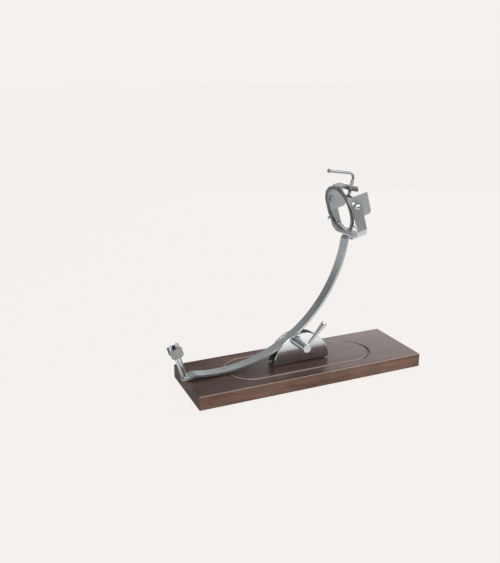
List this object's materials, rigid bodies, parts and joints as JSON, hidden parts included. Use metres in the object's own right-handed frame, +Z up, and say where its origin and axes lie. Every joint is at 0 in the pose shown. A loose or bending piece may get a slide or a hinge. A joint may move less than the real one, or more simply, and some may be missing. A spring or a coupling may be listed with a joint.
{
  "type": "ham holder stand",
  "caption": "Wooden board with a half-disc clamp on a curved flat steel bar, a spiked swivelling cradle at its low end and a tilting hoop with a clamp screw at its high end.",
  "frame": {"origin": "on the table, under the middle of the board", "axes": "+X runs along the board from the cradle to the hoop, +Y points away from the clamp lever, +Z is up"},
  "size_m": [0.5544, 0.17, 0.4479],
  "materials": {
    "board_wood": "dark stained and lacquered, fine grain along the board",
    "foot_rubber": "matte black",
    "polished_steel": "fine satin, nearly polished",
    "satin_steel": "satin, brushed along the length",
    "chrome": "bright turned and polished",
    "zinc_fasteners": "bright plated steel"
  },
  "bodies": {
    "base": {"board": "board_wood", "rubber_feet": "foot_rubber", "foot_screws": "zinc_fasteners", "cheek_near": "polished_steel", "cheek_far": "polished_steel", "pedestal_base": "polished_steel", "base_bolts": "zinc_fasteners", "base_washers": "zinc_fasteners", "base_nuts": "zinc_fasteners", "rest_bar": "chrome", "rest_sleeve": "chrome", "far_nut": "zinc_fasteners"},
    "lever_washer": {"lever_washer": "chrome"},
    "lever": {"lever_rod": "zinc_fasteners", "lever_hub": "chrome", "hub_cap": "chrome", "lever_arm": "chrome"},
    "arc": {"arc_bar": "satin_steel", "post": "chrome", "post_rivet": "zinc_fasteners", "yoke": "satin_steel", "yoke_bolts": "zinc_fasteners", "yoke_nuts": "zinc_fasteners", "pivot_bolts": "zinc_fasteners", "pivot_nuts": "zinc_fasteners"},
    "cradle": {"cradle": "satin_steel", "cradle_stem": "chrome", "cradle_spikes": "chrome"},
    "head": {"hoop": "satin_steel", "side_plate_near": "satin_steel", "side_plate_far": "satin_steel", "stop_pegs": "zinc_fasteners", "screw_arm": "satin_steel", "clamp_nut": "satin_steel"},
    "pad": {"pressure_pad": "satin_steel"},
    "screw": {"clamp_screw": "zinc_fasteners", "screw_handle": "satin_steel", "handle_cap": "satin_steel"}
  },
  "joints": [
    {"name": "lever_slide", "type": "slide", "parent": "base", "child": "lever_washer", "axis": [0, -1, 0], "range_m": [0, 0.00042]},
    {"name": "lever_turn", "type": "hinge", "parent": "lever_washer", "child": "lever", "pos_m": [-0.015, 0, 0.086], "axis": [0, -1, 0], "range_deg": [0, 120]},
    {"name": "arc_tilt", "type": "hinge", "parent": "base", "child": "arc", "pos_m": [-0.1915, 0, 0.341], "axis": [0, 1, 0], "range_deg": [0, 30]},
    {"name": "cradle_swivel", "type": "hinge", "parent": "arc", "child": "cradle", "pos_m": [-0.2615, 0, 0.0377], "axis": [-0.2756, 0, 0.9613], "continuous": true},
    {"name": "head_tilt", "type": "hinge", "parent": "arc", "child": "head", "pos_m": [0.10185, 0, 0.37268], "axis": [0, 1, 0], "range_deg": [0, 25]},
    {"name": "pad_slide", "type": "slide", "parent": "head", "child": "pad", "axis": [0.2588, 0, 0.9659], "range_m": [-0.01, 0.01]},
    {"name": "screw_turn", "type": "hinge", "parent": "pad", "child": "screw", "pos_m": [0.11778, 0, 0.40365], "axis": [0.2588, 0, 0.9659], "range_deg": [-2880, 2880]}
  ],
  "couplings": [
    {"joint": "lever_slide", "follows": "lever_turn", "m_per_rad": 0.00019894},
    {"joint": "pad_slide", "follows": "screw_turn", "m_per_rad": 0.00019894}
  ]
}
